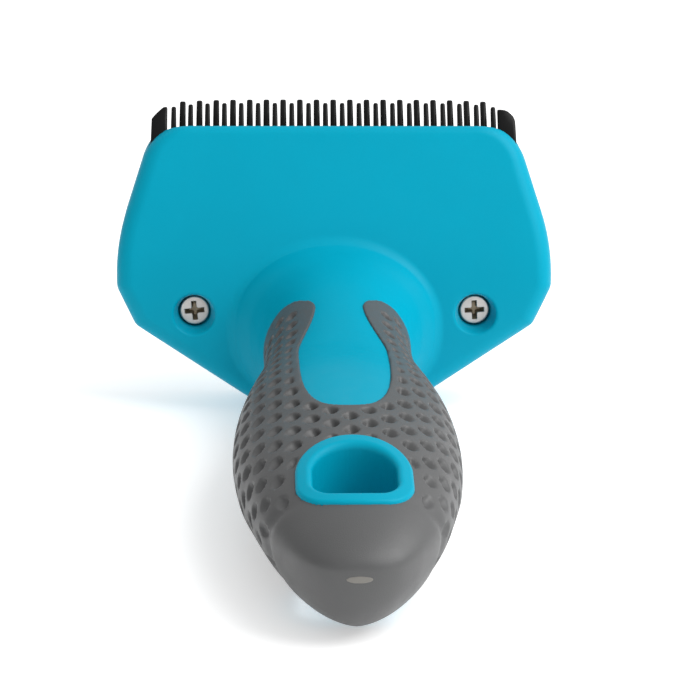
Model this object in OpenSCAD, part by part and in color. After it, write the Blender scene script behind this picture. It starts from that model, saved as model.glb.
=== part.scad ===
// Deshedding tool for pets: a flat two-shell head with a staggered double comb,
// and a hollow core handle in a soft grip with a hanging hole at its end.
// X is the width, Y runs from the end of the handle to the front of the head, Z is up.
// The origin is on the resting plane, under the middle of the overall length.

/* [Head] */
// Overall width of the head
head_w = 80.7; // [76:0.1:90]
// Height of the head's top edge above the resting plane
head_h = 52.4; // [51:0.1:54]
// Width of the flat bottom edge between the two lower diagonals
bottom_w = 25; // [20:0.1:28]
// Height of the corner at the end of a lower diagonal
shoulder_z = 16.6; // [15:0.1:18]
// How far that corner lies inside the widest point
shoulder_in = 3.4; // [3:0.1:4]
// Height at which the upright side starts
side_z = 23.6; // [22:0.1:25]
// Height at which the upright side starts to lean inwards
waist_z = 31.5; // [31:0.1:34]
// Width between the two top corners before they are rounded
top_w = 67; // [64:0.1:68]
// Depth of the head at the resting plane
depth_bottom = 15; // [14:0.1:17]
// Depth of the head at its front top edge, measured from the upright face
depth_top = 19.5; // [18.5:0.1:21]
// Height of the front top edge
front_h = 49.5; // [48:0.1:50]
// Height at which the back face stops being upright
bend_z = 22.4; // [20:0.1:24]
// Lean of the upper back face and of the combs, in degrees
lean = 20; // [16:0.5:22]
// Wall thickness of both shells
wall = 2.2; // [1.8:0.1:2.4]
// Radius of the rounded edge along the sides
edge_side = 3.2; // [2.4:0.1:3.6]
// Radius of the rounded edge along the top
edge_top = 1.5; // [1:0.1:2]
// Depth of the joint line between the shells behind the back face
parting = 4.3; // [4:0.1:4.8]

/* [Combs] */
// Width over the two end teeth
comb_w = 68.2; // [66:0.1:68.4]
// Thickness of a comb plate
comb_t = 1.0; // [0.8:0.1:1.1]
// Distance between the middle planes of the two combs
comb_gap = 2.35; // [2.2:0.05:2.6]
// Distance from the back face to the rear comb's middle plane
comb_y = 3.1; // [3:0.05:3.3]
// Number of long teeth, on the front comb
long_teeth = 19; // [15:2:19]
// Spacing from one long tooth to the next
tooth_pitch = 3.14; // [3:0.01:3.2]
// Rise of the long teeth from root to tip, before they curl
long_len = 8.7; // [6:0.1:9]
// Rise of the short teeth from root to tip, before they curl
short_len = 7.6; // [5:0.1:8]
// Width of a long tooth at its root
long_root_w = 1.18; // [0.9:0.01:1.25]
// Width of a long tooth near its tip
long_tip_w = 0.98; // [0.8:0.01:1]
// Width of a short tooth at its root
short_root_w = 0.94; // [0.7:0.01:1]
// Width of a short tooth near its tip
short_tip_w = 0.74; // [0.6:0.01:0.8]
// Width of the two solid end teeth
end_tooth_w = 3.1; // [2.6:0.1:3.2]
// Height of the tooth roots along the leaning plane
root_h = 29.3; // [28.5:0.1:30]
// Radius of the curl that the teeth take away from the handle
curl_r = 24; // [20:1:60]

/* [Handle] */
// Length of the handle behind the head
handle_len = 110; // [104:0.5:118]
// Thickness of the soft grip over the core
grip_t = 2.0; // [1.6:0.1:2.4]
// Wall thickness of the hollow core
core_wall = 2.2; // [1.8:0.1:2.6]
// Height of the joint between the core and its cover
split_z = 12; // [10:0.1:13]
// Place of the window's rear end along the handle
window_end = 69; // [66:0.5:71]
// Greatest width of the window
window_w = 14.8; // [13:0.1:16]
// Width of the window at the neck
window_neck_w = 8.2; // [7:0.1:10]

/* [Hanging hole] */
// Width of the hole's liner
liner_w = 17.4; // [16:0.1:18]
// Length of the liner along the handle
liner_len = 18; // [17:0.1:19]
// Place of the liner's front end along the handle
liner_start = 81.5; // [80:0.1:82]
// Width of the hole
hole_w = 12.3; // [10:0.1:13]
// Height of the liner's rim above the grip
rim_h = 0.8; // [0.4:0.1:1]

/* [Fasteners] */
// Distance between the two case screws
screw_span = 52; // [50:0.1:56]
// Height of the case screws
screw_z = 19.2; // [18:0.1:20]
// Diameter of the round recess around a case screw
recess_d = 7.6; // [7:0.1:8]
// Depth of that recess to the screw's seat
recess_depth = 4.9; // [4:0.1:5.2]
// Diameter of a case screw's head
screw_head_d = 5.4; // [5:0.1:5.6]
// Diameter of the tenon that joins the handle to the head
tenon_d = 22; // [20:0.1:22]

/* [Hidden] */

face_y = (handle_len - depth_top) / 2;   // Y of the head's upright back face
eps = 0.02;
arc_steps = 6;                           // segments of a rounded outline corner
edge_steps = 3;                          // segments of a rounded shell edge
side_count = 32;                         // points round a handle section
ring_count = 30;                         // sections along the handle
cap_t = handle_len - 26;                 // where the rounded end of the handle starts
neck_t = 14;                             // where the solid neck ends and the hollow begins
split_t = 15;                            // front end of the core's cover
window_mid = 46;                         // where the window is widest
window_full = 2.8;                       // exponent of its full round rear end
horn_slant = 22.2;                       // |x| + t along the slanted front of the grip's horns
seat_depth = 5;                          // depth of the retainer's seat behind the face
retainer_t = 2;                          // thickness of the retainer
rib_places = [34, 52, 70];               // cross ribs of the core, along the handle
rib_t = 1.6;                             // thickness of those ribs
liner_foot = 3.8;                        // height of the liner's lower end, inside the underside
retainer_d = 28;                         // diameter of the retainer
retainer_bolt_r = 7.5;                   // radius of the circle that its screws lie on
tenon_z = 16.5;                          // height of the tenon's axis
tenon_fit = 0.15;                        // radial clearance of the tenon in the shell
peg_d = 4;                               // locating pegs through the comb pack
peg_x = 28;
peg_h = 18;                              // height of the pegs along the leaning plane
comb_foot = 12;                          // lower edge of the combs on the leaning plane
carrier_t = 1.6;                         // thickness of the carrier bar
rivet_d = 3;                             // rivets through the comb pack
rivet_x = 18;
curl_h = 29;                             // height at which the curl of the teeth starts
comb_front = comb_y + comb_gap + comb_t / 2;

// --- rounded head outline -------------------------------------------------------------

function unit(v) = v / norm(v);
function wrap(a) = a > 180 ? a - 360 : a < -180 ? a + 360 : a;

// Arc round corner q = [x, z, r] between its neighbours p and s, as [x, z, nx, nz] rows
function corner(p, q, s) =
    let(a = unit([p.x - q.x, p.y - q.y]), b = unit([s.x - q.x, s.y - q.y]))
    let(half = acos(a * b) / 2, c = [q.x, q.y] + unit(a + b) * q.z / sin(half))
    let(u = [q.x, q.y] + a * q.z / tan(half) - c, v = [q.x, q.y] + b * q.z / tan(half) - c)
    let(a0 = atan2(u.y, u.x), turn = wrap(atan2(v.y, v.x) - a0))
    let(steps = q.z < 6 ? arc_steps / 2 : arc_steps)
    [for (i = [0:steps]) let(g = a0 + turn * i / steps)
        [c.x + q.z * cos(g), c.y + q.z * sin(g), cos(g), sin(g)]];

head_corners = [
    [-bottom_w / 2, 0, 0], [bottom_w / 2, 0, 18], [head_w / 2 - shoulder_in, shoulder_z, 5],
    [head_w / 2, side_z, 5], [head_w / 2, waist_z, 34], [top_w / 2, head_h, 9.5],
    [-top_w / 2, head_h, 0]];

// Right half of the head's outline from the bottom to the top
half_outline = [for (i = [1:5]) each corner(head_corners[i - 1], head_corners[i], head_corners[i + 1])];
half_count = len(half_outline);

// The whole outline: the right half upwards, then its mirror image downwards
outline = [for (i = [0:2 * half_count - 1])
    let(p = half_outline[i < half_count ? i : 2 * half_count - 1 - i], s = i < half_count ? 1 : -1)
    [s * p[0], p[1], s * p[2], p[3]]];

function edge_radius(p) = edge_side + (edge_top - edge_side) * pow(max(0, p[3]), 2);
function back_y(z) = face_y + max(0, z - bend_z) * tan(lean);
function front_y(z) = face_y + depth_bottom + (depth_top - depth_bottom) * z / front_h;

// One ring of the head: the outline moved in by d and rounded by angle a, seen from the
// back face (side = 1) or from the front face (side = -1)
function head_ring(d, a, side) = [for (p = outline)
    let(r = max(0.4, edge_radius(p) - d), m = d + r * (1 - sin(a)))
    let(x = p[0] - m * p[2], z = p[1] - m * p[3], depth = d + r * (1 - cos(a)))
    [x, side > 0 ? back_y(z) + depth : front_y(z) - depth, z]];

head_angles = [for (i = [0:edge_steps]) 90 * i / edge_steps];

// Closed solid of the head, moved in by d on every side
module head_solid(d) {
    rings = concat([for (a = head_angles) head_ring(d, a, 1)],
                   [for (i = [edge_steps:-1:0]) head_ring(d, head_angles[i], -1)]);
    n = len(outline);
    last = (len(rings) - 1) * n;
    sides = [for (k = [0:len(rings) - 2], i = [0:n - 1])
        [k * n + i, k * n + (i + 1) % n, (k + 1) * n + (i + 1) % n, (k + 1) * n + i]];
    caps = [for (i = [0:half_count - 2]) each
        [[i, n - 1 - i, n - 2 - i, i + 1],
         [last + i, last + i + 1, last + n - 2 - i, last + n - 1 - i]]];
    difference() {
        polyhedron([for (r = rings) each r], concat(sides, caps), convexity = 4);
        top_slope(d);
    }
}

// What the slope from just behind the rounded back edge down to the front edge takes off
module top_slope(d) {
    start = back_y(head_h) + 2.2;
    rotate([90, 0, 90]) linear_extrude(head_w, center = true)
        polygon([[start, head_h - d], [face_y + depth_top, front_h - d],
                 [face_y + depth_top + 5, front_h - d], [face_y + depth_top + 5, head_h + 5],
                 [start, head_h + 5]]);
}

// Frame on the leaning face: X across, Y into the head, Z up along the face
module on_lean() {
    translate([0, face_y, bend_z]) rotate([-lean, 0, 0]) children();
}

// Everything behind the joint line between the two shells
module behind_parting() {
    rotate([90, 0, 90]) linear_extrude(head_w + 10, center = true)
        polygon([[face_y - 5, -5], [face_y + parting, -5],
                 [face_y + parting, bend_z - parting * tan(lean / 2)],
                 [face_y + parting / cos(lean) + (60 - bend_z) * tan(lean), 60],
                 [face_y - 5, 60]]);
}

// Slot through both shells for the comb pack; it widens to let the curled teeth out
module comb_slot() {
    back = comb_y - comb_t / 2;
    on_lean() rotate([90, 0, 90]) linear_extrude(comb_w + 0.2, center = true)
        polygon([[back, comb_foot - 0.5], [comb_front, comb_foot - 0.5], [comb_front, curl_h - 0.5],
                 [comb_front + 1.4, curl_h + 11], [back, curl_h + 11]]);
}

// Cylinder along +Y from depth y0 to y1 behind the back face
module bar_y(d, x, z, y0, y1, facets = 48) {
    translate([x, face_y + y0, z]) rotate([-90, 0, 0]) cylinder(d = d, h = y1 - y0, $fn = facets);
}

// --- shells ---------------------------------------------------------------------------

module screw_recess(x) {
    bar_y(recess_d, x, screw_z, -2, recess_depth);
    bar_y(3.2, x, screw_z, recess_depth - eps, recess_depth + 4);
}

module head_back_shell() {
    color("DarkTurquoise") difference() {
        union() {
            intersection() {
                difference() {
                    head_solid(0);
                    head_solid(wall);
                }
                behind_parting();
            }
            intersection() {
                head_solid(eps);
                union() {
                    for (x = [-1, 1] * screw_span / 2)
                        bar_y(recess_d + 3.6, x, screw_z, 0, recess_depth + 2);
                    bar_y(retainer_d, 0, tenon_z, 0, seat_depth);
                }
            }
            for (x = [-peg_x, peg_x]) on_lean() translate([x, wall - 0.5, peg_h])
                rotate([-90, 0, 0]) cylinder(d = peg_d, h = comb_front + carrier_t - wall + 0.5, $fn = 32);
        }
        for (x = [-1, 1] * screw_span / 2) screw_recess(x);
        bar_y(tenon_d + 2 * tenon_fit, 0, tenon_z, -5, seat_depth + 1);
        difference() {
            comb_slot();
            for (x = [-peg_x, peg_x]) on_lean() translate([x, 0, peg_h])
                rotate([-90, 0, 0]) cylinder(d = peg_d, h = 12, $fn = 32);
        }
    }
}

module head_front_shell() {
    boss_y = recess_depth + 2;
    color("DarkTurquoise") difference() {
        union() {
            difference() {
                head_solid(0);
                head_solid(wall);
                behind_parting();
            }
            intersection() {
                head_solid(eps);
                union() {
                    for (x = [-1, 1] * screw_span / 2) bar_y(7, x, screw_z, boss_y, 22);
                    for (x = [-20, -10, 10, 20]) on_lean()
                        translate([x - 0.75, comb_front + carrier_t, comb_foot]) cube([1.5, 20, 14]);
                }
            }
        }
        comb_slot();
        for (x = [-1, 1] * screw_span / 2) bar_y(2.9, x, screw_z, boss_y - 1, recess_depth + 8.3);
    }
}

// --- combs ----------------------------------------------------------------------------

// One tapered tooth with a round tip, from its root at z = 0
module tooth(root_w, tip_w, length) {
    polygon([[-root_w / 2, -1], [root_w / 2, -1], [root_w / 2, 0],
             [tip_w / 2, length - tip_w / 2], [-tip_w / 2, length - tip_w / 2], [-root_w / 2, 0]]);
    translate([0, length - tip_w / 2]) circle(d = tip_w, $fn = 16);
}

// Plate with the holes for the pegs and the rivets
module comb_plate(width, foot, top) {
    difference() {
        translate([-width / 2, foot]) square([width, top - foot]);
        for (x = [-peg_x, peg_x]) translate([x, peg_h]) circle(d = peg_d + 0.1, $fn = 32);
        for (x = [-rivet_x, 0, rivet_x]) translate([x, peg_h]) circle(d = rivet_d, $fn = 32);
    }
}

// Stands a flat drawing up on the leaning plane, as a plate of thickness t behind depth y
module plate(y, t) {
    on_lean() translate([0, y + t, 0]) rotate([90, 0, 0]) linear_extrude(t) children();
}

// Profile of a comb at depth y: straight, then curled about an axis in front of the head
function curled(y) = concat([[y, comb_foot - 1]], [for (a = [0:6:36])
    [curl_r - (curl_r - y) * cos(a), curl_h + (curl_r - y) * sin(a)]]);

// Stands a flat drawing of a comb up on the leaning plane, with its teeth curled forwards
module curled_plate(y) {
    back = curled(y);
    front = curled(y + comb_t);
    on_lean() intersection() {
        translate([0, 20, 0]) rotate([90, 0, 0]) linear_extrude(20) children();
        rotate([90, 0, 90]) linear_extrude(comb_w + 2, center = true)
            polygon(concat(back, [for (i = [len(front) - 1:-1:0]) front[i]]));
    }
}

module front_comb() {
    color([0.10, 0.10, 0.11]) curled_plate(comb_y + comb_gap - comb_t / 2) {
        comb_plate(comb_w - 1, comb_foot, root_h);
        for (i = [0:long_teeth - 1]) {
            x = (i - (long_teeth - 1) / 2) * tooth_pitch;
            translate([x, root_h]) tooth(long_root_w, long_tip_w, long_len - 0.5 * pow(x / 30, 2));
        }
    }
}

module rear_comb() {
    end_x = comb_w / 2 - end_tooth_w;
    end_len = short_len - 0.9;
    end_r = 2.7;
    color([0.10, 0.10, 0.11]) curled_plate(comb_y - comb_t / 2) {
        comb_plate(comb_w, comb_foot, root_h);
        for (i = [0:long_teeth]) {
            x = (i - long_teeth / 2) * tooth_pitch;
            translate([x, root_h]) tooth(short_root_w, short_tip_w, short_len - pow(x / 30, 4));
        }
        for (s = [-1, 1]) scale([s, 1]) translate([end_x, root_h - 1]) {
            square([end_tooth_w, end_len + 1 - end_r]);
            square([end_tooth_w - end_r, end_len + 1]);
            translate([end_tooth_w - end_r, end_len + 1 - end_r]) intersection() {
                circle(r = end_r, $fn = 32);
                square(end_r);
            }
        }
    }
}

module comb_spacer() {
    color("DimGray") plate(comb_y + comb_t / 2, comb_gap - comb_t)
        comb_plate(comb_w - 2, comb_foot, root_h - 2);
}

module comb_carrier() {
    color("DimGray") plate(comb_front, carrier_t) comb_plate(62, comb_foot, comb_foot + 12);
}

module comb_rivets() {
    stack = comb_front + carrier_t - (comb_y - comb_t / 2);
    color("Silver") for (x = [-rivet_x, 0, rivet_x]) on_lean() translate([x, comb_y - comb_t / 2, peg_h])
        rotate([-90, 0, 0]) {
            cylinder(d = rivet_d, h = stack, $fn = 32);
            translate([0, 0, stack]) cylinder(d1 = 5, d2 = 3.6, h = 0.8, $fn = 32);
        }
}

// --- fasteners ------------------------------------------------------------------------

// Tapping screw with a domed head and a cross recess; z = 0 is the underside of the head
// and the shank points to +Z
module tapping_screw(head_d, head_h, shank_d, length) {
    slot_w = head_d / 5.4;
    difference() {
        union() {
            rotate_extrude($fn = 48) polygon([[0, 0], [head_d / 2, 0], [head_d / 2, -head_h * 0.45],
                [head_d * 0.45, -head_h * 0.72], [head_d * 0.34, -head_h * 0.92], [0, -head_h]]);
            cylinder(d = shank_d, h = length - shank_d, $fn = 32);
            translate([0, 0, length - shank_d]) cylinder(d1 = shank_d, d2 = 0.5, h = shank_d, $fn = 32);
        }
        for (a = [0, 90]) rotate(a) translate([-head_d * 0.29, -slot_w / 2, -head_h - eps])
            cube([head_d * 0.58, slot_w, head_h * 0.75]);
    }
}

module case_screw(x) {
    color("Silver") translate([x, face_y + recess_depth, screw_z]) rotate([-90, 0, 0])
        tapping_screw(screw_head_d, 2, 2.9, 8);
}

module case_screw_left() { case_screw(-screw_span / 2); }

module case_screw_right() { case_screw(screw_span / 2); }

// Places of the screws round the tenon
bolt_angles = [45:90:315];
function bolt_x(a) = retainer_bolt_r * cos(a);
function bolt_z(a) = tenon_z + retainer_bolt_r * sin(a);

module neck_retainer() {
    color("Gray") difference() {
        bar_y(retainer_d, 0, tenon_z, seat_depth, seat_depth + retainer_t);
        for (a = bolt_angles) bar_y(2.8, bolt_x(a), bolt_z(a), 0, 10, 32);
    }
}

module neck_screws() {
    color("Silver") for (a = bolt_angles)
        translate([bolt_x(a), face_y + seat_depth + retainer_t, bolt_z(a)]) rotate([90, 0, 0])
            tapping_screw(4.6, 1.7, 2.6, 10);
}

// --- handle ---------------------------------------------------------------------------

// Driving sections of the handle, against the distance t behind the face
half_widths = [[-5, 21.2], [0, 19.4], [4, 15.9], [9, 13.7], [15, 13.2], [22, 13.3], [30, 14.2],
               [40, 16.4], [52, 17.9], [64, 18.2], [76, 17.3], [88, 15.5], [110, 16.0]];
tops = [[-5, 33.0], [0, 31.2], [9, 29.2], [22, 26.8], [36, 25.4], [52, 25.7], [68, 24.2],
        [84, 22.6], [110, 17.6]];
bottoms = [[-5, 0.2], [0, 0.2], [9, 1.0], [24, 2.2], [40, 2.5], [56, 1.8], [72, 0.5],
           [88, 0.02], [110, -1.4]];
middles = [[-5, 15.8], [9, 15.8], [30, 13.0], [58, 12.3], [84, 12.5], [110, 12.5]];
bulge = 2.1;                             // exponent of the section's superellipse
keel = 0.45;                             // how far it drops below the middle, at the round end
cap_sides = 1.8;                         // how full the round end is: sides, top, underside
cap_top = 2.4;
cap_under = 2.8;

function slope(tab, i) =
    let(a = tab[max(0, i - 1)], b = tab[min(len(tab) - 1, i + 1)]) (b.y - a.y) / (b.x - a.x);
function span(tab, t, i = 0) = i >= len(tab) - 2 || t < tab[i + 1].x ? i : span(tab, t, i + 1);

// Smooth curve through the [t, value] rows of a table
function curve(tab, t) =
    let(i = span(tab, t), a = tab[i], b = tab[i + 1], h = b.x - a.x, s = (t - a.x) / h)
    (2 * pow(s, 3) - 3 * pow(s, 2) + 1) * a.y + (pow(s, 3) - 2 * pow(s, 2) + s) * h * slope(tab, i)
    + (3 * pow(s, 2) - 2 * pow(s, 3)) * b.y + (pow(s, 3) - pow(s, 2)) * h * slope(tab, i + 1);

// 0 below 0, 1 above 1, and a smooth step between
function ease(s) = let(c = min(1, max(0, s))) c * c * (3 - 2 * c);

// How far a section is from closing at the round end, for a handle of length l
function cap(t, l, n) = t < cap_t ? 1 : pow(max(0, 1 - pow((t - cap_t) / (l - cap_t), n)), 1 / n);

// One section of the handle at t, moved in by d
function section(t, d) =
    let(l = handle_len - d, m = curve(middles, t), w = (curve(half_widths, t) - d) * cap(t, l, cap_sides))
    let(up = (curve(tops, t) - d - m) * cap(t, l, cap_top))
    let(under = (m - curve(bottoms, t) - d) * cap(t, l, cap_under))
    [for (i = [0:side_count - 1]) let(g = 360 * i / side_count, c = cos(g), s = sin(g))
        let(power = 2 / (bulge - (s < 0 ? keel * ease((t - 76) / 20) : 0)))
        [w * sign(c) * pow(abs(c), power), face_y - t,
         m + (s >= 0 ? up : under) * sign(s) * pow(abs(s), power)]];

// Distances of the sections: evenly spaced, then closer together towards the round end
function station(k, l) = let(u = k / ring_count) u < 0.7 ? -5 + (cap_t + 5) * u / 0.7
    : cap_t + (l - 0.04 - cap_t) * sin(90 * (u - 0.7) / 0.3);

// Closed solid of the handle, moved in by d on every side
module handle_solid(d) {
    rings = [for (k = [0:ring_count]) section(station(k, handle_len - d), d)];
    n = side_count;
    sides = [for (k = [0:ring_count - 1], i = [0:n - 1])
        [k * n + i, (k + 1) * n + i, (k + 1) * n + (i + 1) % n, k * n + (i + 1) % n]];
    polyhedron([for (r = rings) each r],
               concat(sides, [[for (i = [0:n - 1]) i]], [[for (i = [n - 1:-1:0]) ring_count * n + i]]),
               convexity = 4);
}

// Front edge of the soft grip, a little further back on top than at the sides
function grip_front(z) = 11.5 + 2 * ease((z - 12) / 11);

module grip_region() {
    rotate([90, 0, 90]) linear_extrude(60, center = true) polygon(concat(
        [for (z = [-1:1.5:35]) [face_y - grip_front(z), z]],
        [[face_y - handle_len - 5, 35], [face_y - handle_len - 5, -1]]));
}

// Half width of the window from the neck to its widest place
function neck_half(t) = (window_neck_w + (window_w - window_neck_w) * ease((t - 19) / 21)) / 2;

// The window's outline from the neck to its full round end, and its mirror image
module window_prism() {
    power = 2 / window_full;
    half = concat([for (t = [6:4:window_mid - 2]) [neck_half(t), t]], [for (a = [0:9:90])
        [window_w / 2 * pow(cos(a), power), window_mid + (window_end - window_mid) * pow(sin(a), power)]]);
    translate([0, 0, 17]) linear_extrude(20) polygon(concat(
        [for (p = half) [p.x, face_y - p.y]],
        [for (i = [len(half) - 2:-1:0]) [-half[i].x, face_y - half[i].y]]));
}

// What the slanted front of the horns leaves bare on top
module horn_prism() {
    translate([0, 0, 17]) linear_extrude(20) polygon([[0, face_y - horn_slant],
        [horn_slant + 10, face_y + 10], [-horn_slant - 10, face_y + 10]]);
}

// D-shaped outline along the handle: round towards the head, flat towards the end
module d_outline(width, start, length, corner_r) {
    r = width / 2;
    flat = face_y - start - length;
    translate([0, face_y - start - r]) circle(r, $fn = 64);
    translate([-r, flat + corner_r]) square([width, length - r - corner_r]);
    translate([-r + corner_r, flat]) square([width - 2 * corner_r, corner_r + eps]);
    for (s = [-1, 1]) translate([s * (r - corner_r), flat + corner_r]) circle(corner_r, $fn = 48);
}

module liner_prism() {
    translate([0, 0, -5]) linear_extrude(50) d_outline(liner_w, liner_start, liner_len, 4);
}

module hole_prism() {
    rim = (liner_w - hole_w) / 2;
    translate([0, 0, -6]) linear_extrude(52)
        d_outline(hole_w, liner_start + rim + 0.4, liner_len - 2 * rim - 0.4, 2.4);
}

// Space between heights z0 and z1, from t0 to t1 along the handle
module zone(t0, t1, z0, z1) {
    translate([-30, face_y - t1, z0]) cube([60, t1 - t0, z1 - z0]);
}

// The hollow inside the core, as bays between the cross ribs of its upper half
module core_hollow() {
    ends = concat([neck_t], rib_places, [handle_len]);
    intersection() {
        handle_solid(grip_t + core_wall);
        union() {
            zone(neck_t, handle_len, 0, split_z + eps);
            for (i = [0:len(ends) - 2]) zone(ends[i] + (i > 0 ? rib_t : 0), ends[i + 1], split_z, 40);
        }
    }
}

// Everything that the grip leaves bare: the collar and the window
module bare_region() {
    difference() {
        zone(-10, 30, -1, 40);
        grip_region();
    }
    horn_prism();
    window_prism();
}

module handle_core() {
    color("DarkTurquoise") difference() {
        union() {
            difference() {
                union() {
                    handle_solid(grip_t);
                    intersection() {
                        handle_solid(0);
                        bare_region();
                    }
                }
                core_hollow();
                zone(split_t, handle_len, -1, split_z);
                head_solid(0);
            }
            bar_y(tenon_d, 0, tenon_z, -6, seat_depth);
        }
        liner_prism();
        for (a = bolt_angles) bar_y(2.6, bolt_x(a), bolt_z(a), -3.2, 10, 32);
    }
}

module core_cover() {
    color("MediumTurquoise") difference() {
        intersection() {
            handle_solid(grip_t);
            zone(split_t, handle_len, -1, split_z);
        }
        core_hollow();
        liner_prism();
    }
}

module grip_sleeve() {
    color("Gray") difference() {
        intersection() {
            handle_solid(0);
            grip_region();
        }
        handle_solid(grip_t);
        horn_prism();
        window_prism();
        liner_prism();
    }
}

module hang_hole_liner() {
    color("DarkTurquoise") difference() {
        intersection() {
            liner_prism();
            handle_solid(-rim_h);
            zone(0, handle_len, liner_foot, 40);
        }
        hole_prism();
    }
}

head_back_shell();
head_front_shell();
rear_comb();
front_comb();
comb_spacer();
comb_carrier();
comb_rivets();
case_screw_left();
case_screw_right();
handle_core();
core_cover();
neck_retainer();
neck_screws();
grip_sleeve();
hang_hole_liner();
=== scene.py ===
"""Looks of the deshedding tool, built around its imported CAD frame.

The scene is in metres. The moulded pieces are worked out in millimetres as smooth distance
fields and meshed here; make_mesh() turns them into metres in the frame of the CAD parts.
"""
from math import atan2, cos, degrees, pi, radians, sin, sqrt, tan

import bpy
import numpy as np
from mathutils import Matrix, Vector


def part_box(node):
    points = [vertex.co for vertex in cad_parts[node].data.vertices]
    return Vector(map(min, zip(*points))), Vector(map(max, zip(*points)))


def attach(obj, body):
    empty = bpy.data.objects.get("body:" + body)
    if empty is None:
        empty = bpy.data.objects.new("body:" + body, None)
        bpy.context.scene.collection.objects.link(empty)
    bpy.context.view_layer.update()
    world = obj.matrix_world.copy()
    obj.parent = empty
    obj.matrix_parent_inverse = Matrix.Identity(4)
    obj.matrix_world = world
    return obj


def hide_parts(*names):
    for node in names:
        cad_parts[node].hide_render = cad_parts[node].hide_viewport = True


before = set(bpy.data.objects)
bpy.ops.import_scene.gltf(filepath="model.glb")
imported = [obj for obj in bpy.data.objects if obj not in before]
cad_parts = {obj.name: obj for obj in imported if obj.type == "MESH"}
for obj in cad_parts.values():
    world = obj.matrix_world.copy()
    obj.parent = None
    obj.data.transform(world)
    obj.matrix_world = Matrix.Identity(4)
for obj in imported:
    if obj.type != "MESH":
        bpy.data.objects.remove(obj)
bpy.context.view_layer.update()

MM = 0.001                               # metres in a millimetre

# --- sizes, in millimetres ----------------------------------------------------------------

back_lo, back_hi = (Vector(v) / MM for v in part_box("head_back_shell"))
grip_lo, grip_hi = (Vector(v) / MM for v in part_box("grip_sleeve"))
comb_lo, comb_hi = (Vector(v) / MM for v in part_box("rear_comb"))

FACE_Y = back_lo.y                       # the head's upright back face; t runs back from it
HEAD_W = back_hi.x - back_lo.x
HEAD_H = back_hi.z
HANDLE_LEN = FACE_Y - grip_lo.y
COMB_W = comb_hi.x - comb_lo.x

LEAN = radians(20)                       # lean of the upper back face and of the combs
BEND_Z = 22.4                            # height at which that lean starts
DEPTH_BOTTOM, DEPTH_TOP = 15.0, 19.5     # depth of the head at the floor and at its front top
FRONT_H = 49.5                           # height of the front top edge
EDGE_SIDE, EDGE_TOP = 3.2, 1.5           # edge radii of the head
PARTING = 4.3                            # joint line between the shells, behind the back face
PARTING_GAP = 0.06                       # how far each shell stays off that line
# corners of the head's right half outline: x, z, corner radius
HEAD_CORNERS = [(12.5, 0, 18), (HEAD_W / 2 - 3.4, 16.6, 2.2), (HEAD_W / 2, 23.6, 3.2),
                (HEAD_W / 2, 31.5, 34), (33.5, HEAD_H, 9.5)]

SCREW_X, SCREW_Z = 26.0, 19.2            # places of the two case screws
RECESS_D, RECESS_DEPTH = 7.7, 4.9        # mouth of a screw's recess, depth of its seat
BORE_D, SCREW_FACE = 6.1, 2.9            # bore round the screw head, depth of the head's face
SCREW_HEAD_R, SCREW_HEAD_H = 2.7, 2.0    # radius and height of a screw's head
CROSS_HALF_W, CROSS_HALF_LEN = 0.46, 1.88
CROSS_DEPTH = 1.5

TOOTH_PITCH, LONG_TEETH = 3.14, 19       # spacing of the long teeth, and their number
COMB_T, END_W = 1.0, 3.1                 # thickness of a comb, width of its end teeth
COMB_FOOT, ROOT_H = 14.0, 29.3           # heights along the leaning plane
REAR_DEPTH, FRONT_DEPTH = 3.1, 5.45      # middle planes of the combs
CURL_START, CURL_R = 29.0, 24.0          # where the teeth start to curl forwards, and how much
SHORT_LEN, LONG_LEN = 9.0, 11.9          # lengths of the middle teeth along their curl
SHORT_WIDTHS, LONG_WIDTHS = (1.15, 0.88), (1.32, 1.10)   # widths of a tooth at its root and tip
TIP_LEN = 0.6                            # length of the rounding of a tip

# smooth profiles of the handle against t: half width, top, underside, middle height
HALF_WIDTHS = [(-5, 21.2), (0, 19.4), (4, 15.9), (9, 13.7), (15, 13.2), (22, 13.3), (30, 14.2),
               (40, 16.4), (52, 17.9), (64, 18.2), (76, 17.3), (88, 15.5), (110, 16.0)]
TOPS = [(-5, 33.0), (0, 31.2), (9, 29.2), (22, 26.8), (36, 25.4), (52, 25.7), (68, 24.2),
        (84, 22.6), (110, 17.6)]
BOTTOMS = [(-5, 0.2), (0, 0.2), (9, 1.0), (24, 2.2), (40, 2.5), (56, 1.8), (72, 0.5),
           (88, 0.02), (110, -1.4)]
MIDDLES = [(-5, 15.8), (9, 15.8), (30, 13.0), (58, 12.3), (84, 12.5), (110, 12.5)]
BULGE, KEEL = 2.1, 0.45                  # exponent of its section, and how far that drops
                                         # below the middle towards the round end
CAP_START = HANDLE_LEN - 26              # where the round end of the handle starts
# how full the round end is: at the sides, on top, on the underside and at its very tip
CAP_SIDES, CAP_TOP, CAP_UNDER, CAP_TIP = 1.8, 2.4, 2.8, 2.3
GRIP_PROUD = 0.35                        # how far the grip stands above the core
GRIP_DEPTH = 2.0                         # thickness of the grip

WINDOW_W, WINDOW_NECK_W = 14.8, 8.2      # widths of the window in the grip
WINDOW_MID, WINDOW_END = 46.0, 69.0      # where it is widest, and where it ends
WINDOW_FULL = 2.8                        # exponent of its full round end
HORN_SLANT = 22.2                        # |x| + t along the slanted front of the horns
GRIP_FRONT, GRIP_STEP = 11.5, 2.0        # t of the grip's front edge, and how far it steps back on top
LINER_W, LINER_LEN, LINER_START, LINER_CORNER = 17.4, 18.0, 81.5, 4.0
HOLE_W, HOLE_CORNER = 12.3, 2.4
RIM_H, LINER_FOOT = 0.5, 3.8             # rim above the grip, height of the liner's lower end
RING_BOW = 0.025                         # bow of the ring's rear end, per millimetre squared

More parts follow.
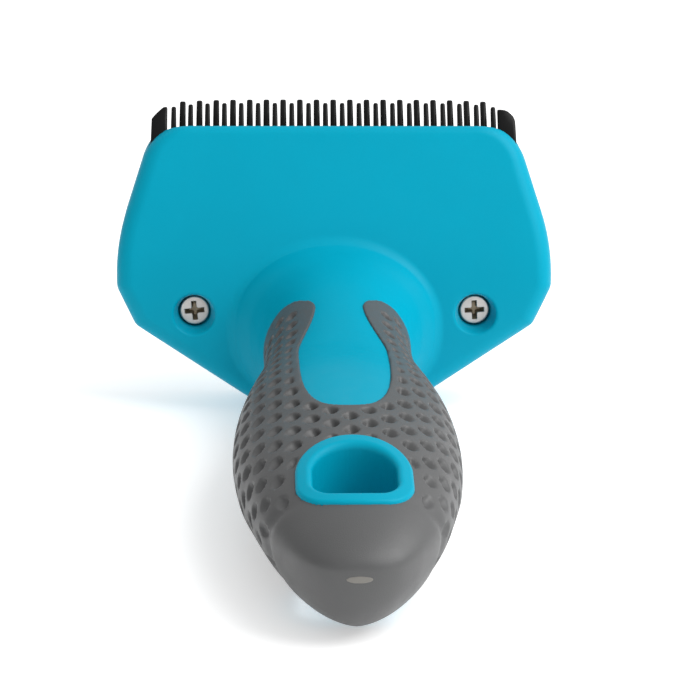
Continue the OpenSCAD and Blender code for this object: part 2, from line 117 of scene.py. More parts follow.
DIMPLE_COLUMN = 2.95                     # spacing of the dimple columns round the handle
DIMPLE_ROW, DIMPLE_GROWTH = 4.2, 0.018   # their pitch along it at t = 20, and its growth with t
DIMPLE_HALF_W, DIMPLE_HALF_LEN = 1.6, 1.85               # half width and half length of one
DIMPLE_DEPTH = 1.3
DIMPLE_ANCHOR = 73.6                     # t of one row in the middle, which places the others
DIMPLE_END = 97.0                        # where the dimples stop before the smooth round end
CREASE_T, CREASE_W, CREASE_DEPTH = 96.8, 1.2, 0.4        # crease in front of that round end
GATE_X, GATE_Z = 0.1, 11.4               # middle of the raised oval at the very end, painted pale as a highlight
GATE_HALF_W, GATE_HALF_H, GATE_PROUD = 1.9, 0.55, 0.05


# --- field tools --------------------------------------------------------------------------

def ease(value):
    """0 below 0, 1 above 1, and a smooth step between."""
    value = np.clip(value, 0, 1)
    return value * value * (3 - 2 * value)


def curve(table, t):
    """Smooth curve through the (t, value) rows of a table."""
    ts, vs = np.array(table, float).T
    slopes = np.gradient(vs, ts, edge_order=1)
    slopes[1:-1] = (vs[2:] - vs[:-2]) / (ts[2:] - ts[:-2])
    t = np.clip(t, ts[0], ts[-1])
    i = np.clip(np.searchsorted(ts, t, side="right") - 1, 0, len(ts) - 2)
    h = ts[i + 1] - ts[i]
    u = (t - ts[i]) / h
    return ((2 * u ** 3 - 3 * u ** 2 + 1) * vs[i] + (u ** 3 - 2 * u ** 2 + u) * h * slopes[i]
            + (3 * u ** 2 - 2 * u ** 3) * vs[i + 1] + (u ** 3 - u ** 2) * h * slopes[i + 1])


def meet(a, b, r):
    """What two fields share, with the edge between them rounded by r."""
    return (np.minimum(np.maximum(a, b), -r)
            + np.hypot(np.maximum(a + r, 0), np.maximum(b + r, 0)))


def join(a, b, r):
    """Two fields together, with a fillet of radius r between them."""
    return -meet(-a, -b, r)


def blend_max(a, b, width):
    """Greater of two fields, with a soft bend of the given width where they cross."""
    h = np.maximum(width - np.abs(a - b), 0) / width
    return np.maximum(a, b) + h * h * width / 4


class Outline:
    """Signed distance to a closed outline, looked up from a fine grid around it."""
    STEP = 0.2
    MARGIN = 8.0

    def __init__(self, points):
        points = np.array(points, float)
        self.lo = points.min(0) - self.MARGIN
        count = np.ceil((points.max(0) + self.MARGIN - self.lo) / self.STEP).astype(int) + 1
        axes = [self.lo[i] + self.STEP * np.arange(count[i]) for i in range(2)]
        gx, gy = np.meshgrid(*axes, indexing="ij")
        best = np.full(gx.shape, 1e9)
        inside = np.zeros(gx.shape, bool)
        for (ax, ay), (bx, by) in zip(points, np.roll(points, -1, axis=0)):
            ux, uy = bx - ax, by - ay
            share = np.clip(((gx - ax) * ux + (gy - ay) * uy) / max(ux * ux + uy * uy, 1e-12), 0, 1)
            best = np.minimum(best, (gx - ax - share * ux) ** 2 + (gy - ay - share * uy) ** 2)
            if ay != by:
                crossing = (ay > gy) != (by > gy)
                inside ^= crossing & (gx < ax + ux * (gy - ay) / uy)
        self.table = np.where(inside, -1, 1) * np.sqrt(best)
        self.normal_y = np.gradient(self.table, self.STEP, axis=1)

    def look_up(self, table, x, y):
        """Values at the points, interpolated; outside the grid the nearest ones."""
        u = np.clip((x - self.lo[0]) / self.STEP, 0, table.shape[0] - 1.001)
        v = np.clip((y - self.lo[1]) / self.STEP, 0, table.shape[1] - 1.001)
        i, j = u.astype(int), v.astype(int)
        u, v = u - i, v - j
        return ((table[i, j] * (1 - v) + table[i, j + 1] * v) * (1 - u)
                + (table[i + 1, j] * (1 - v) + table[i + 1, j + 1] * v) * u)

    def __call__(self, x, y):
        return self.look_up(self.table, x, y)


def arc(cx, cy, r, start, end, steps=16):
    """Points on an arc, angles in degrees."""
    angles = np.radians(np.linspace(start, end, steps + 1))
    return [(cx + r * cos(a), cy + r * sin(a)) for a in angles]


def rounded_corner(before, point, after, r):
    """Arc of radius r that rounds a corner of an outline."""
    q = Vector(point)
    a, b = (Vector(before) - q).normalized(), (Vector(after) - q).normalized()
    half = a.angle(b) / 2
    centre = q + (a + b).normalized() * r / sin(half)
    u, v = q + a * r / tan(half) - centre, q + b * r / tan(half) - centre
    start = atan2(u.y, u.x)
    turn = (atan2(v.y, v.x) - start + pi) % (2 * pi) - pi
    return arc(centre.x, centre.y, r, degrees(start), degrees(start + turn))


# --- from fields to meshes ----------------------------------------------------------------

CORNERS = [(i, j, k) for i in (0, 1) for j in (0, 1) for k in (0, 1)]
EDGES = [(a, b) for a in CORNERS for b in CORNERS if a < b and sum(np.abs(np.subtract(a, b))) == 1]
GRADIENT_STEP = 0.03


def field_gradient(field, p, step=GRADIENT_STEP):
    """Value and gradient of a field at the points p."""
    here = field(*p.T)
    slopes = []
    for axis in range(3):
        offset = np.zeros(3)
        offset[axis] = step
        slopes.append((field(*(p + offset).T) - field(*(p - offset).T)) / (2 * step))
    return here, np.stack(slopes, axis=1)


def surface_net(field, lo, hi, step):
    """Closed surface where the field is zero, as vertices, quads and normals.
    step is the size of a cell; the box from lo to hi has to hold the whole surface."""
    axes = [np.arange(a - step, b + 2 * step, step) for a, b in zip(lo, hi)]
    values = np.stack([field(np.full((len(axes[1]), len(axes[2])), x),
                             *np.meshgrid(axes[1], axes[2], indexing="ij")) for x in axes[0]])
    low = values < 0
    cells = tuple(n - 1 for n in values.shape)
    part = [low[i:i + cells[0], j:j + cells[1], k:k + cells[2]] for i, j, k in CORNERS]
    filled = sum(p.astype(np.int8) for p in part)
    active = np.argwhere((filled > 0) & (filled < 8))
    total, count = np.zeros((len(active), 3)), np.zeros(len(active))
    for a, b in EDGES:
        va, vb = values[tuple((active + a).T)], values[tuple((active + b).T)]
        cut = (va < 0) != (vb < 0)
        share = np.where(cut, va / np.where(cut, va - vb, 1), 0)
        total += np.where(cut[:, None], np.array(a) + share[:, None] * np.subtract(b, a), 0)
        count += cut
    points = np.array([ax[0] for ax in axes]) + step * (active + total / count[:, None])
    number = np.full(cells, -1)
    number[tuple(active.T)] = np.arange(len(active))
    quads = []
    for axis in range(3):
        u, v = (axis + 1) % 3, (axis + 2) % 3
        first = np.take(low, range(values.shape[axis] - 1), axis)
        second = np.take(low, range(1, values.shape[axis]), axis)
        changed = np.argwhere(first != second)
        changed = changed[(changed[:, u] > 0) & (changed[:, v] > 0)
                          & (changed[:, u] < cells[u]) & (changed[:, v] < cells[v])]
        back_u, back_v = np.zeros(3, int), np.zeros(3, int)
        back_u[u], back_v[v] = 1, 1
        ring = np.stack([number[tuple((changed - d).T)]
                         for d in (0 * back_u, back_u, back_u + back_v, back_v)], axis=1)
        outward = first[tuple(changed.T)]
        ring[~outward] = ring[~outward][:, ::-1]
        quads.append(ring)
    for _ in range(3):
        here, slope = field_gradient(field, points)
        size = np.maximum((slope ** 2).sum(1), 0.05)
        move = -(here / size)[:, None] * slope
        length = np.maximum(np.linalg.norm(move, axis=1, keepdims=True), 1e-9)
        points += move * np.minimum(1, 0.5 * step / length)
    slope = field_gradient(field, points, step / 3)[1]
    normals = slope / np.maximum(np.linalg.norm(slope, axis=1, keepdims=True), 1e-9)
    return points, np.concatenate(quads), normals


def make_mesh(name, points, faces, normals=None):
    """Object of a mesh given in millimetres, shaded smooth."""
    mesh = bpy.data.meshes.new(name)
    mesh.from_pydata((np.array(points) * MM).tolist(), [], [list(map(int, f)) for f in faces])
    mesh.update()
    mesh.polygons.foreach_set("use_smooth", np.ones(len(mesh.polygons), bool))
    if normals is not None:
        mesh.normals_split_custom_set_from_vertices(normals.tolist())
    piece = bpy.data.objects.new(name, mesh)
    bpy.context.scene.collection.objects.link(piece)
    return piece


def moulded(name, field, lo, hi, step):
    """Object meshed from a field of x, y and z in millimetres."""
    return make_mesh(name, *surface_net(field, lo, hi, step))


def place(piece, material, slot, *nodes):
    """Gives a finished piece its material and its body, and hides the CAD nodes it stands for."""
    if not piece.data.materials:
        piece.data.materials.append(material)
    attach(piece, "root")
    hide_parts(*nodes)


# --- head ---------------------------------------------------------------------------------

def head_outline():
    """Outline of the head seen from behind, as x, z points."""
    corners = [(-HEAD_CORNERS[0][0], 0, 0)] + HEAD_CORNERS + [(-HEAD_CORNERS[-1][0], HEAD_H, 0)]
    half = []
    for before, (x, z, r), after in zip(corners, corners[1:], corners[2:]):
        half += rounded_corner(before[:2], (x, z), after[:2], r)
    return half + [(-x, z) for x, z in reversed(half)]


HEAD = Outline(head_outline())


def on_lean(y, z):
    """Depth behind the leaning face and height along it."""
    dy, dz = y - FACE_Y, z - BEND_Z
    return dy * cos(LEAN) - dz * sin(LEAN), dy * sin(LEAN) + dz * cos(LEAN)


def back_plane(y, z):
    """Distance in front of the back face: upright below, leaning above, with a soft bend."""
    return blend_max(FACE_Y - y, -on_lean(y, z)[0], 3.0)


def head_solid(x, y, z):
    """The whole head as one solid, with its rounded edges and its sloping roof."""
    wall = HEAD(x, z)
    upward = np.maximum(HEAD.look_up(HEAD.normal_y, x, z), 0)
    radius = EDGE_SIDE + (EDGE_TOP - EDGE_SIDE) * upward ** 2
    slope = (DEPTH_TOP - DEPTH_BOTTOM) / FRONT_H
    front = (y - FACE_Y - DEPTH_BOTTOM - slope * z) / sqrt(1 + slope ** 2)
    body = meet(wall, np.maximum(back_plane(y, z), front), radius)
    back_top = FACE_Y + (HEAD_H - BEND_Z) * tan(LEAN) + 2.2
    fall = (HEAD_H - FRONT_H) / (FACE_Y + DEPTH_TOP - back_top)
    roof = (z - HEAD_H + fall * (y - back_top)) / sqrt(1 + fall ** 2)
    return meet(body, roof, EDGE_TOP)


def parting_plane(y, z):
    """Distance in front of the joint line between the shells, positive towards the front."""
    return -blend_max(FACE_Y + PARTING - y, PARTING - on_lean(y, z)[0], 3.0)


def comb_slot(x, y, z):
    """Slot that the combs come out of; it widens upwards to let the curled teeth through."""
    depth, height = on_lean(y, z)
    near = REAR_DEPTH - COMB_T / 2 - 0.1
    far = FRONT_DEPTH + COMB_T / 2 + 0.1 + 0.12 * np.maximum(height - CURL_START, 0)
    across = np.maximum(near - depth, depth - far)
    return np.maximum(np.maximum(np.abs(x) - COMB_W / 2 - 0.1, across), 20 - height)


def recess(x, y, z):
    """Round recess of each case screw: a tapered mouth over a close bore."""
    radius = np.hypot(np.abs(x) - SCREW_X, z - SCREW_Z)
    depth = y - FACE_Y
    wall = radius - BORE_D / 2 - (RECESS_D - BORE_D) / 2 * (1 - ease(depth / SCREW_FACE))
    return np.maximum(wall, depth - RECESS_DEPTH)


# --- handle -------------------------------------------------------------------------------

def handle_shape(x, t, z):
    """Rough distance to the handle's outer surface, along the ray from its middle line."""
    middle = curve(MIDDLES, t)
    above = z > middle
    height = np.where(above, curve(TOPS, t) - middle, middle - curve(BOTTOMS, t))
    bulge = BULGE - np.where(above, 0, KEEL * ease((t - 76) / 20))
    ax = (np.abs(x) / curve(HALF_WIDTHS, t)) ** bulge
    az = (np.abs(z - middle) / height) ** bulge
    section = (ax + az + 1e-12) ** (1 / bulge)
    fullness = (ax * CAP_SIDES + az * np.where(above, CAP_TOP, CAP_UNDER) + 1e-9) / (ax + az + 1e-9)
    fullness = CAP_TIP + (fullness - CAP_TIP) * ease(section / 0.8)
    along = np.maximum(t - CAP_START, 0) / (HANDLE_LEN - CAP_START)
    whole = (section ** fullness + along ** fullness) ** (1 / fullness)
    reach = np.sqrt(x ** 2 + (z - middle) ** 2 + (np.maximum(t - CAP_START, 0)) ** 2)
    return reach * (1 - 1 / np.maximum(whole, 1e-3))


def handle(x, t, z):
    """Distance to the handle's outer surface."""
    step = 0.05
    here = handle_shape(x, t, z)
    slope = np.sqrt(((handle_shape(x + step, t, z) - here) / step) ** 2
                    + ((handle_shape(x, t + step, z) - here) / step) ** 2
                    + ((handle_shape(x, t, z + step) - here) / step) ** 2)
    return here / np.clip(slope, 0.4, 3)


def window_outline():
    """Outline of the window: a narrow neck, widest in the middle, with a full round end."""
    neck = np.arange(0, WINDOW_MID, 1.0)
    halves = (WINDOW_NECK_W + (WINDOW_W - WINDOW_NECK_W) * ease((neck - 19) / 21)) / 2
    angles = np.linspace(0, pi / 2, 24)
    end_x = WINDOW_W / 2 * np.cos(angles) ** (2 / WINDOW_FULL)
    end_t = WINDOW_MID + (WINDOW_END - WINDOW_MID) * np.sin(angles) ** (2 / WINDOW_FULL)
    half = list(zip(halves, neck)) + list(zip(end_x, end_t))
    return half + [(-x, t) for x, t in half[-2::-1]]


def d_outline(width, start, length, corner):
    """D shape along the handle: round towards the head, flat towards the end."""
    r, end = width / 2, start + length
    return (arc(0, start + r, r, 180, 360, 32) + arc(r - corner, end - corner, corner, 0, 90)
            + arc(corner - r, end - corner, corner, 90, 180))


WINDOW = Outline(window_outline())
LINER = Outline(d_outline(LINER_W, LINER_START, LINER_LEN, LINER_CORNER))
RIM_W = (LINER_W - HOLE_W) / 2
HOLE = Outline(d_outline(HOLE_W, LINER_START + RIM_W + 0.4, LINER_LEN - 2 * RIM_W - 0.4, HOLE_CORNER))


def bowed(x, t):
    """t straightened out from the slight bow of the ring's rear end."""
    return t + RING_BOW * x ** 2 * ease((t - 88) / 6)


def ring_distance(x, t):
    """Distance from the outline of the ring, seen from above."""
    return LINER(x, bowed(x, t))


def hole_distance(x, t):
    """Distance from the outline of the hole in the ring."""
    return HOLE(x, bowed(x, t))


def collar_edge(x, t, z):
    """Distance in front of the grip's front edge, which steps back on top to the horns."""
    front = GRIP_FRONT + GRIP_STEP * ease((z - 12) / 11) - t
    slant = np.where(z > 14, (HORN_SLANT - np.abs(x) - t) / sqrt(2), -20.0)
    return meet(front, slant, 2.0)


def bare(x, t, z):
    """Distance into what the grip leaves bare: the collar and the window on top."""
    window = np.where(z > 14, -WINDOW(x, t), -20.0)
    return meet(collar_edge(x, t, z), window, 1.6)


def around(x, t, z):
    """Distance round the handle from the middle of its top to a place on it."""
    width, middle = curve(HALF_WIDTHS, t), curve(MIDDLES, t)
    height = curve(TOPS, t) - middle
    angle = np.arctan2(x / width, (z - middle) / height)
    return (width + height) / 2 * angle + (width - height) / 4 * np.sin(2 * angle)


def dimples(x, t, z):
    """Depth of the dimples at a place on the grip. They stand in staggered columns that run
    along it, and get smaller near the window, the ring, the horns and the round end."""
    wrapped = around(x, t, z)
    phase = np.log(DIMPLE_ROW + DIMPLE_GROWTH * (t - 20)) / DIMPLE_GROWTH
    first = np.log(DIMPLE_ROW + DIMPLE_GROWTH * (DIMPLE_ANCHOR - 20)) / DIMPLE_GROWTH
    deepest = np.zeros_like(x)
    for stagger in (0, 1):
        column = 2 * np.round((wrapped / DIMPLE_COLUMN - stagger) / 2) + stagger
        row = np.round(phase - first - stagger / 2) + stagger / 2
        pitch = np.exp(DIMPLE_GROWTH * (row + first))
        centre_t = 20 + (pitch - DIMPLE_ROW) / DIMPLE_GROWTH
        centre_x = column * DIMPLE_COLUMN
        beside = 0.9 + 1.4 * ease((36 - centre_t) / 8)
        room = np.minimum(WINDOW(centre_x, centre_t) - beside, ring_distance(centre_x, centre_t))
        room = np.minimum(room, np.minimum(centre_t - 17, DIMPLE_END - centre_t))
        room = np.minimum(room, (np.abs(centre_x) + centre_t - HORN_SLANT) / sqrt(2) - 1.6)
        size = ease((room + 0.6) / 1.6)
        across = (wrapped - centre_x) / (DIMPLE_HALF_W * (size + 0.01))
        along = (t - centre_t) / (DIMPLE_HALF_LEN * (size + 0.01) * pitch / 4.8)
        away = (across ** 2 + 0.08) ** 0.75 + (along ** 2 + 0.08) ** 0.75
        fade = 1 - 0.5 * ease((centre_t - 84) / 10)
        depth = DIMPLE_DEPTH * size * fade * ease((size - 0.45) / 0.3)
        deepest = np.maximum(deepest, depth * ease(1.35 * (1 - away)))
    margin = np.minimum(WINDOW(x, t) - 0.5, ring_distance(x, t) + 0.3)
    margin = np.minimum(margin, (np.abs(x) + t - HORN_SLANT) / sqrt(2) - 0.8)
    return deepest * ease((np.minimum(margin, t - 14) - 0.5) / 0.9)


def grip(x, y, z):
    """Soft grip with its dimples, and a crease on each side of its smooth round end."""
    t = FACE_Y - y
    crease = np.exp(-((t - CREASE_T) / CREASE_W) ** 2) * ease((19 - z) / 4) * ease((z - 1) / 4)
    outer = handle(x, t, z)
    skin = outer + dimples(x, t, z) * ease((z - 2) / 5) + CREASE_DEPTH * crease
    open_area = np.minimum(bare(x, t, z), outer + GRIP_DEPTH + 0.4)
    body = np.maximum(meet(skin, open_area, 0.35), collar_edge(x, t, z))
    return meet(body, -(ring_distance(x, t) + 0.35), 0.1 + 0.7 * ease((9 - z) / 4))


def gate_mark_painted_highlight(x, y, z):
    """Small raised oval where the grip was moulded from, at the very end; painted pale as a highlight."""
    skin = handle(x, FACE_Y - y, z)
    oval = 0.6 * np.hypot((x - GATE_X) / GATE_HALF_W, (z - GATE_Z) / GATE_HALF_H) - 0.6
    return meet(np.maximum(skin - GATE_PROUD, -skin - 0.5), np.maximum(oval, y), 0.06)


def core(x, y, z):
    """Collar and window: just under the grip's surface where bare, deeper under the grip."""
    t = FACE_Y - y
    cover = ease((-bare(x, t, z) - 0.3) / 1.4)
    skin = handle(x, t, z) + GRIP_PROUD + (GRIP_DEPTH - GRIP_PROUD) * cover
    return np.maximum(skin, np.maximum(t - 75, -5 - t))


def liner(x, y, z):
    """Ring of the hanging hole: a rounded rim above the grip, and the walls below it."""
    t = FACE_Y - y
    top = np.maximum(handle(x, t, z) - RIM_H, LINER_FOOT - z)
    return meet(meet(ring_distance(x, t), top, 0.45), -hole_distance(x, t), 1.1)


def back_shell(x, y, z):
    """Rear half of the head with the fillet round the collar and the two screw recesses."""
    t = FACE_Y - y
    stub = np.maximum(handle(x, t, z) + GRIP_PROUD + 0.03, t - 7)
    shell = meet(head_solid(x, y, z), parting_plane(y, z) + PARTING_GAP, 0.25)
    shell = join(shell, stub, 1.1)
    shell = np.maximum(shell, parting_plane(y, z) + PARTING_GAP)
    shell = meet(shell, -recess(x, y, z), 0.35)
    return np.maximum(shell, -comb_slot(x, y, z))


def front_shell(x, y, z):
    """Front half of the head."""
    shell = meet(head_solid(x, y, z), PARTING_GAP - parting_plane(y, z), 0.25)
    return np.maximum(shell, -comb_slot(x, y, z))


# --- combs --------------------------------------------------------------------------------

def comb_point(x, height, depth):
    """Place of a comb point: the plates lean, and the teeth curl further towards their tips."""
    turn = LEAN + max(height - CURL_START, 0) / CURL_R
    straight = min(height, CURL_START)
    y = straight * sin(LEAN) + CURL_R * (cos(LEAN) - cos(turn)) + depth * cos(turn)
    z = straight * cos(LEAN) + CURL_R * (sin(turn) - sin(LEAN)) - depth * sin(turn)
    return x, FACE_Y + y, BEND_Z + z


def loft(points, faces, stations, depth):
    """Adds a closed strip to the mesh: stations are (height, left, right, thickness) rows."""
    first, sides = len(points), 16
    for height, left, right, thickness in stations:
        for i in range(sides):
            c, w = cos(2 * pi * i / sides), sin(2 * pi * i / sides)
            x = (left + right) / 2 + (right - left) / 2 * np.sign(c) * abs(c) ** 0.45
            q = thickness / 2 * np.sign(w) * abs(w) ** 0.45
            points.append(comb_point(x, height, depth + q))
    for k in range(len(stations) - 1):
        low, high = first + k * sides, first + (k + 1) * sides
        faces += [[low + (i + 1) % sides, low + i, high + i, high + (i + 1) % sides]
                  for i in range(sides)]
    last = first + (len(stations) - 1) * sides
    faces.append([first + i for i in range(sides)])
    faces.append([last + i for i in range(sides - 1, -1, -1)])


def tip_share(height, top):
    """Share of its full width that a tooth keeps at a height below its rounded top."""
    u = np.clip(1 - (top - height) / TIP_LEN, 0, 1)
    return max((1 - u ** 2.2) ** (1 / 2.2), 0.12)


def tooth_heights(top):
    """Heights of a tooth's stations: even along it, and closer together at its tip."""
    return list(np.linspace(ROOT_H - 1.5, top - TIP_LEN, 9)) + [
        top - TIP_LEN * (1 - sin(a)) for a in np.linspace(0.25, pi / 2, 6)]


def tooth(x, root_w, tip_w, length):
    """Stations of one tapered tooth with a rounded tip."""
    top = ROOT_H + length
    rows = []
    for height in tooth_heights(top):
        taper = np.clip((height - ROOT_H) / length, 0, 1)
        half = (root_w + (tip_w - root_w) * taper) / 2 * tip_share(height, top)
        rows.append((height, x - half, x + half, COMB_T * tip_share(height, top)))
    return rows


def end_tooth(side, width, top, cut, slanted):
    """Stations of a broad end tooth; its outer corner is slanted or round."""
    outer, inner = COMB_W / 2, COMB_W / 2 - width
    rows = []
    for height in tooth_heights(top):
        over = np.clip(height - (top - cut), 0, cut)
        back = over * 0.85 if slanted else cut - sqrt(cut ** 2 - over ** 2)
        back += 0.03 * (height - ROOT_H)
        shrink = (1 - tip_share(height, top)) * 0.3
        edges = sorted((side * (inner + shrink), side * (outer - back - shrink)))
        rows.append((height, *edges, COMB_T * tip_share(height, top)))
    return rows


def comb(name, depth, width, strips):
    """Comb: a plate low in the head and its teeth, each a closed strip of one mesh."""
    points, faces = [], []
    plate_heights = (COMB_FOOT, 20, CURL_START, ROOT_H - 0.6, ROOT_H)
    plate = [(h, -width / 2, width / 2, COMB_T) for h in plate_heights]
    for strip in [plate, *strips]:
        loft(points, faces, strip, depth)
    return make_mesh(name, points, faces)


def front_comb():
    """Comb with the long teeth; they get slightly shorter at the sides."""
    places = [(i - (LONG_TEETH - 1) / 2) * TOOTH_PITCH for i in range(LONG_TEETH)]
    return comb("front_comb_teeth", FRONT_DEPTH, COMB_W - 1,
                [tooth(x, *LONG_WIDTHS, LONG_LEN - 0.6 * abs(x / 28.3) ** 5) for x in places])


def rear_comb():
    """Comb with the short teeth and the two broad end teeth."""
    places = [(i - LONG_TEETH / 2) * TOOTH_PITCH for i in range(LONG_TEETH + 1)]
    teeth = [tooth(x, *SHORT_WIDTHS, SHORT_LEN - (x / 30) ** 8) for x in places]
    top = ROOT_H + SHORT_LEN - 1
    ends = [end_tooth(-1, END_W, top, 2.6, True), end_tooth(1, END_W + 0.4, top - 0.6, 3.0, False)]
    return comb("rear_comb_teeth", REAR_DEPTH, COMB_W, teeth + ends)


# --- screws -------------------------------------------------------------------------------

def screw_cross(u, v, deep):
    """Cross recess of a screw: its walls taper from the mouth to the floor."""
    slots = [np.maximum(np.abs(p) - CROSS_HALF_W - 0.12 * deep, np.abs(q) - CROSS_HALF_LEN - 0.5 * deep)
             for p, q in ((u, v), (v, u))]
    return np.maximum(join(*slots, 0.3), -CROSS_DEPTH - deep)


def screw(name, side, turn):
    """Flat-domed screw head with a cross recess; its shank is hidden in the boss."""
    seat = FACE_Y + RECESS_DEPTH

    def turned(x, z):
        dx, dz = x - side * SCREW_X, z - SCREW_Z
        return dx * cos(turn) + dz * sin(turn), dz * cos(turn) - dx * sin(turn)

    def field(x, y, z):
        u, v = turned(x, z)
        rise = seat - y
        radius = np.hypot(u, v)
        dome = rise - SCREW_HEAD_H + 0.02 * radius ** 2
        body = meet(meet(radius - SCREW_HEAD_R, dome, 0.25), -rise, 0.1)
        return meet(body, -screw_cross(u, v, rise - SCREW_HEAD_H), 0.07)

    lo = (side * SCREW_X - SCREW_HEAD_R, seat - SCREW_HEAD_H, SCREW_Z - SCREW_HEAD_R)
    hi = (side * SCREW_X + SCREW_HEAD_R, seat, SCREW_Z + SCREW_HEAD_R)
    piece = moulded(name, field, lo, hi, 0.085)
    piece.data.materials.append(ZINC)
    piece.data.materials.append(BROWNED)
    for polygon in piece.data.polygons:
        x, y, z = polygon.center / MM
        inside = screw_cross(*turned(x, z), seat - y - SCREW_HEAD_H) < 0.1
        polygon.material_index = int(inside and seat - y < SCREW_HEAD_H - 0.2)
    return piece


# --- materials ----------------------------------------------------------------------------

def new_material(name, roughness, **sockets):
    """Material with its node tree and its shader; sockets sets further shader inputs."""
    material = bpy.data.materials.new(name)
    material.use_nodes = True
    shader = material.node_tree.nodes["Principled BSDF"]
    shader.inputs["Roughness"].default_value = roughness
    for key, value in sockets.items():
        shader.inputs[key.replace("_", " ")].default_value = value
    return material, material.node_tree, shader


def noise(tree, scale, detail=3.0, rough=0.5):
    """Noise in the object's own space; scale is in features per metre."""
    coordinates = tree.nodes.new("ShaderNodeTexCoord")
    node = tree.nodes.new("ShaderNodeTexNoise")
    node.inputs["Scale"].default_value = scale
    node.inputs["Detail"].default_value = detail
    node.inputs["Roughness"].default_value = rough
    tree.links.new(coordinates.outputs["Object"], node.inputs["Vector"])
    return node.outputs["Fac"]


def ramp(tree, factor, stops):
    """Colour or value ramp over a factor; stops are (place, colour) pairs."""
    node = tree.nodes.new("ShaderNodeValToRGB")
    while len(node.color_ramp.elements) < len(stops):
        node.color_ramp.elements.new(0.5)
    for element, (where, colour) in zip(node.color_ramp.elements, stops):
        element.position = where
        element.color = (*colour, 1)
    tree.links.new(factor, node.inputs["Fac"])
    return node.outputs["Color"]


def bump(tree, shader, height, distance):
    """Fine relief on a surface, distance deep in metres."""
    node = tree.nodes.new("ShaderNodeBump")
    node.inputs["Distance"].default_value = distance
    tree.links.new(height, node.inputs["Height"])
    tree.links.new(node.outputs["Normal"], shader.inputs["Normal"])


def span(tree, factor, low, high):
    """Maps a 0 to 1 factor onto low to high."""
    node = tree.nodes.new("ShaderNodeMapRange")
    node.inputs["From Min"].default_value = 0.3
    node.inputs["From Max"].default_value = 0.7
    node.inputs["To Min"].default_value = low
    node.inputs["To Max"].default_value = high
    tree.links.new(factor, node.inputs["Value"])
    return node.outputs["Result"]


def speckled(name, dark, light, roughness, grain, grain_depth, spread=0.05, **sockets):
    """Moulded material: slow change of tone, fine grain and slightly uneven gloss."""
    material, tree, shader = new_material(name, roughness, **sockets)
    tone = ramp(tree, noise(tree, 45, 4.0), [(0.3, dark), (0.7, light)])
    tree.links.new(tone, shader.inputs["Base Color"])
    gloss = span(tree, noise(tree, 260, 3.0), roughness - spread, roughness + spread)
    tree.links.new(gloss, shader.inputs["Roughness"])
    bump(tree, shader, noise(tree, grain, 2.0, 0.6), grain_depth)
    return material


CYAN = speckled("cyan_plastic", (0.0, 0.288, 0.416), (0.0, 0.303, 0.437), 0.38, 2600, 0.000008,
                Specular_IOR_Level=0.07)
GREY = speckled("grey_rubber", (0.066, 0.067, 0.068), (0.078, 0.079, 0.080), 0.46, 5200, 0.00003,
                Specular_IOR_Level=0.45)
# painted highlight: the pale colour of the oval at the very end stands in for light caught by it
PAINTED_HIGHLIGHT_PALE = speckled("pale_rubber_painted_highlight", (0.125, 0.12, 0.108), (0.18, 0.172, 0.155), 0.5, 4000, 0.00003)
BLACK = speckled("black_steel", (0.004, 0.004, 0.004), (0.008, 0.008, 0.008), 0.25, 3000, 0.000004,
                 Specular_IOR_Level=0.12)
DARK = speckled("dark_plastic", (0.02, 0.02, 0.022), (0.03, 0.03, 0.033), 0.5, 3000, 0.00001)
ZINC = speckled("zinc_steel", (0.50, 0.47, 0.45), (0.66, 0.63, 0.61), 0.40, 6000, 0.00002,
                Metallic=0.8)
BROWNED = speckled("browned_steel", (0.13, 0.10, 0.065), (0.40, 0.34, 0.25), 0.42, 4000, 0.00003,
                   Metallic=0.6)


# --- camera, light and floor --------------------------------------------------------------

def make_camera():
    """Camera behind the end of the handle, looking forward and down at the head."""
    elevation, azimuth, roll = radians(16.5), radians(-2.244), radians(0.457)
    distance, aside, raised = 0.430, 0.002769, 0.011873
    forward = Vector((-sin(azimuth) * cos(elevation), cos(azimuth) * cos(elevation), -sin(elevation)))
    right = Vector((cos(azimuth), sin(azimuth), 0))
    up = right.cross(forward)
    position = Vector((0, FACE_Y * MM, 0)) - distance * forward + aside * right + raised * up
    turned_right = right * cos(roll) + up * sin(roll)
    turned_up = up * cos(roll) - right * sin(roll)
    data = bpy.data.cameras.new("camera")
    data.sensor_width = 36
    data.lens = 118.29
    camera = bpy.data.objects.new("camera", data)
    camera.matrix_world = Matrix((turned_right, turned_up, -forward)).transposed().to_4x4()
    camera.matrix_world.translation = position
    bpy.context.scene.collection.objects.link(camera)
    bpy.context.scene.camera = camera


def make_light(name, position, target, size, energy):
    """Square area light at a position, aimed at a target; all in metres and watts."""
    data = bpy.data.lights.new(name, "AREA")
    data.size = size
    data.energy = energy
    light = bpy.data.objects.new(name, data)
    light.location = position
    aim = Vector(target) - Vector(position)
    light.rotation_euler = aim.to_track_quat("-Z", "Y").to_euler()
    bpy.context.scene.collection.objects.link(light)


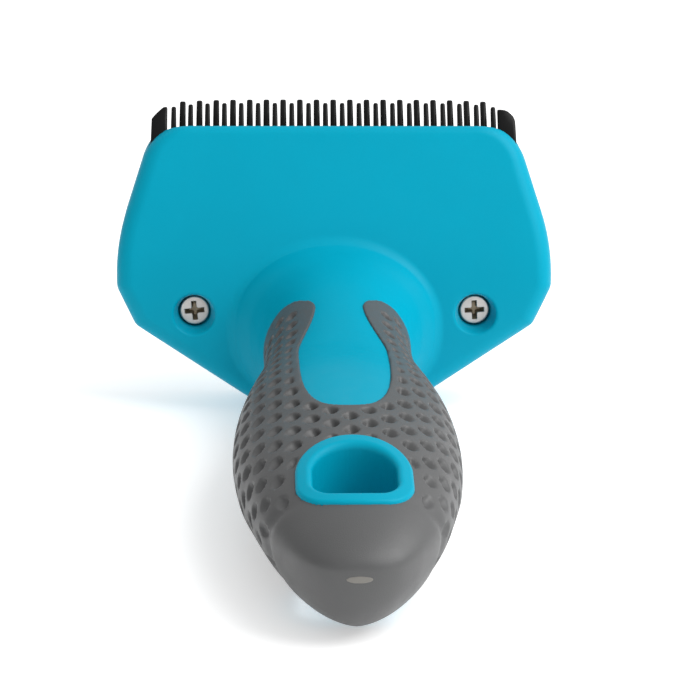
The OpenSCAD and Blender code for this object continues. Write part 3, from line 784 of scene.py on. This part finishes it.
def make_stage():
    """Pale floor, a soft studio round it that is brighter on the right, and one large light."""
    bpy.ops.mesh.primitive_plane_add(size=6)
    floor = bpy.context.object
    floor.name = "floor"
    material, tree, shader = new_material("floor", 0.6)
    tone = ramp(tree, noise(tree, 6), [(0.3, (0.90, 0.90, 0.90)), (0.7, (0.915, 0.915, 0.915))])
    tree.links.new(tone, shader.inputs["Base Color"])
    tree.links.new(tone, shader.inputs["Emission Color"])
    shader.inputs["Emission Strength"].default_value = 0.42
    floor.data.materials.append(material)
    world = bpy.data.worlds.new("world")
    world.use_nodes = True
    nodes, links = world.node_tree.nodes, world.node_tree.links
    direction = nodes.new("ShaderNodeTexCoord")
    split = nodes.new("ShaderNodeSeparateXYZ")
    brightness = nodes.new("ShaderNodeMapRange")
    brightness.inputs["From Min"].default_value = -1
    brightness.inputs["From Max"].default_value = 1
    brightness.inputs["To Min"].default_value = 0.48
    brightness.inputs["To Max"].default_value = 1.02
    links.new(direction.outputs["Generated"], split.inputs["Vector"])
    links.new(split.outputs["X"], brightness.inputs["Value"])
    links.new(brightness.outputs["Result"], nodes["Background"].inputs["Strength"])
    nodes["Background"].inputs["Color"].default_value = (1, 1, 1, 1)
    bpy.context.scene.world = world
    bpy.context.scene.view_settings.view_transform = "Standard"
    make_light("key", (0.36, -0.10, 0.46), (0, 0.02, 0.03), 0.46, 3.1)


# --- everything together ------------------------------------------------------------------

make_camera()
make_stage()

head_lo = (-HEAD_W / 2 - 0.5, FACE_Y - 7.5, -0.5)
head_hi = (HEAD_W / 2 + 0.5, FACE_Y + 20.5, HEAD_H + 0.5)
place(moulded("back_shell", back_shell, head_lo, head_hi, 0.42), CYAN, "cyan_plastic", "head_back_shell")
place(moulded("front_shell", front_shell, head_lo, head_hi, 0.5), CYAN, "cyan_plastic", "head_front_shell")
place(moulded("collar_and_window", core, (-22, FACE_Y - 76, -1), (22, FACE_Y + 5.5, 34), 0.42),
      CYAN, "cyan_plastic", "handle_core")
place(moulded("soft_grip", grip, (-19, FACE_Y - 110.5, -1.5), (19, FACE_Y - 8.5, 29.5), 0.4),
      GREY, "grey_grip", "grip_sleeve")
# the raised oval at the very end, its pale colour a painted highlight
place(moulded("gate_mark_painted_highlight", gate_mark_painted_highlight, (-2.2, FACE_Y - 110.4, 10), (2.4, FACE_Y - 108, 12.8), 0.12),
      PAINTED_HIGHLIGHT_PALE, "grey_grip", "grip_sleeve")
place(moulded("hanging_hole_ring", liner, (-9.5, FACE_Y - 101, 3), (9.5, FACE_Y - 80.5, 26), 0.27),
      CYAN, "cyan_plastic", "hang_hole_liner")
place(front_comb(), BLACK, "black_steel", "front_comb")
place(rear_comb(), BLACK, "black_steel", "rear_comb")
place(screw("screw_left", -1, radians(5)), ZINC, "zinc_steel", "case_screw_left")
place(screw("screw_right", 1, radians(3)), ZINC, "zinc_steel", "case_screw_right")

for node_name, material in (("comb_spacer", DARK), ("comb_carrier", BLACK), ("comb_rivets", ZINC),
                            ("neck_retainer", DARK), ("neck_screws", ZINC), ("core_cover", CYAN)):
    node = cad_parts[node_name]
    node.data.materials.clear()
    node.data.materials.append(material)
